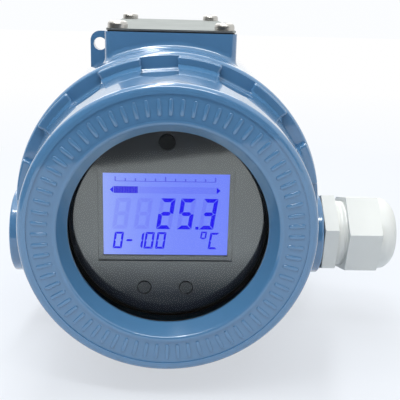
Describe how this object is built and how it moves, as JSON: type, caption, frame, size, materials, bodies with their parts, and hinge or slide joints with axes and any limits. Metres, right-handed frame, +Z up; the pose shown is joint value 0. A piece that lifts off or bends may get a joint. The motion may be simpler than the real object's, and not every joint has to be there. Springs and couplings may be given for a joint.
{
  "type": "temperature transmitter",
  "caption": "Blue cast field housing of a temperature transmitter: windowed screw cover over a lit display and keys, blind rear cover, nameplate, cable gland and sensor entry below.",
  "frame": {"origin": "centre of the sensor entry's mouth, on the flat ring face that the housing stands on", "axes": "+Z up, the window faces -Y, the cable gland leaves along +X"},
  "size_m": [0.1412, 0.161, 0.1162],
  "materials": {
    "housing_paint": "satin blue enamel on die cast aluminium",
    "window_glass": "clear",
    "black_rubber": "matt",
    "black_metal": "matt black",
    "bezel_plastic": "fine grain grey",
    "key_plastic": "fine grain dark grey",
    "lcd": "lit blue display",
    "light_box": "milky white",
    "circuit_board": "solder mask",
    "black_plastic": "matt black",
    "terminal_plastic": "moulded dark grey",
    "steel": "brushed stainless",
    "brass": "plain",
    "nylon": "satin pale grey nylon"
  },
  "bodies": {
    "housing": {"housing": "housing_paint", "nameplate_backing": "black_rubber", "nameplate": "steel", "nameplate_screws": "steel", "display_bezel": "bezel_plastic", "lcd_panel": "lcd", "light_box": "light_box", "display_board": "circuit_board", "key_switches": "black_plastic", "electronics_module": "black_plastic", "module_screws": "steel", "feedthrough": "brass", "terminal_block": "terminal_plastic", "terminal_clamps": "brass", "terminal_screws": "steel", "block_screws": "steel", "inner_earth_screw": "steel", "earth_washer": "steel", "earth_screw": "steel", "entry_plug": "steel", "gland_washer": "black_rubber", "gland_body": "nylon"},
    "front_ring_seal": {"front_seal": "black_rubber"},
    "front_screw_cover": {"front_cover": "housing_paint", "window_gasket": "black_rubber", "window_glass": "window_glass", "glass_ring": "black_metal"},
    "rear_ring_seal": {"rear_seal": "black_rubber"},
    "rear_screw_cover": {"rear_cover": "housing_paint"},
    "gland_insert": {"gland_claw": "nylon", "gland_seal": "black_rubber"},
    "gland_cap_nut": {"gland_cap": "nylon"},
    "left_push_key": {"left_key": "key_plastic"},
    "right_push_key": {"right_key": "key_plastic"},
    "top_push_key": {"top_key": "key_plastic"}
  },
  "joints": [
    {"name": "front_cover_travel", "type": "slide", "parent": "housing", "child": "front_ring_seal", "axis": [0, -1, 0], "range_m": [0, 0.00675]},
    {"name": "front_cover_turn", "type": "hinge", "parent": "front_ring_seal", "child": "front_screw_cover", "pos_m": [0, -0.033, 0.056], "axis": [0, -1, 0], "range_deg": [0, 1620]},
    {"name": "rear_cover_travel", "type": "slide", "parent": "housing", "child": "rear_ring_seal", "axis": [0, 1, 0], "range_m": [0, 0.00675]},
    {"name": "rear_cover_turn", "type": "hinge", "parent": "rear_ring_seal", "child": "rear_screw_cover", "pos_m": [0, 0.077, 0.056], "axis": [0, 1, 0], "range_deg": [0, 1620]},
    {"name": "gland_cap_travel", "type": "slide", "parent": "housing", "child": "gland_insert", "axis": [1, 0, 0], "range_m": [0, 0.00675]},
    {"name": "gland_cap_turn", "type": "hinge", "parent": "gland_insert", "child": "gland_cap_nut", "pos_m": [0.07, -0.01, 0.0392], "axis": [1, 0, 0], "range_deg": [0, 1620]},
    {"name": "left_key_press", "type": "slide", "parent": "housing", "child": "left_push_key", "axis": [0, 1, 0], "range_m": [0, 0.0006], "stiffness_N_per_m": 800},
    {"name": "right_key_press", "type": "slide", "parent": "housing", "child": "right_push_key", "axis": [0, 1, 0], "range_m": [0, 0.0006], "stiffness_N_per_m": 800},
    {"name": "top_key_press", "type": "slide", "parent": "housing", "child": "top_push_key", "axis": [0, 1, 0], "range_m": [0, 0.0006], "stiffness_N_per_m": 800}
  ],
  "couplings": [
    {"joint": "front_cover_travel", "follows": "front_cover_turn", "m_per_rad": 0.0002387},
    {"joint": "rear_cover_travel", "follows": "rear_cover_turn", "m_per_rad": 0.0002387},
    {"joint": "gland_cap_travel", "follows": "gland_cap_turn", "m_per_rad": 0.0002387}
  ]
}
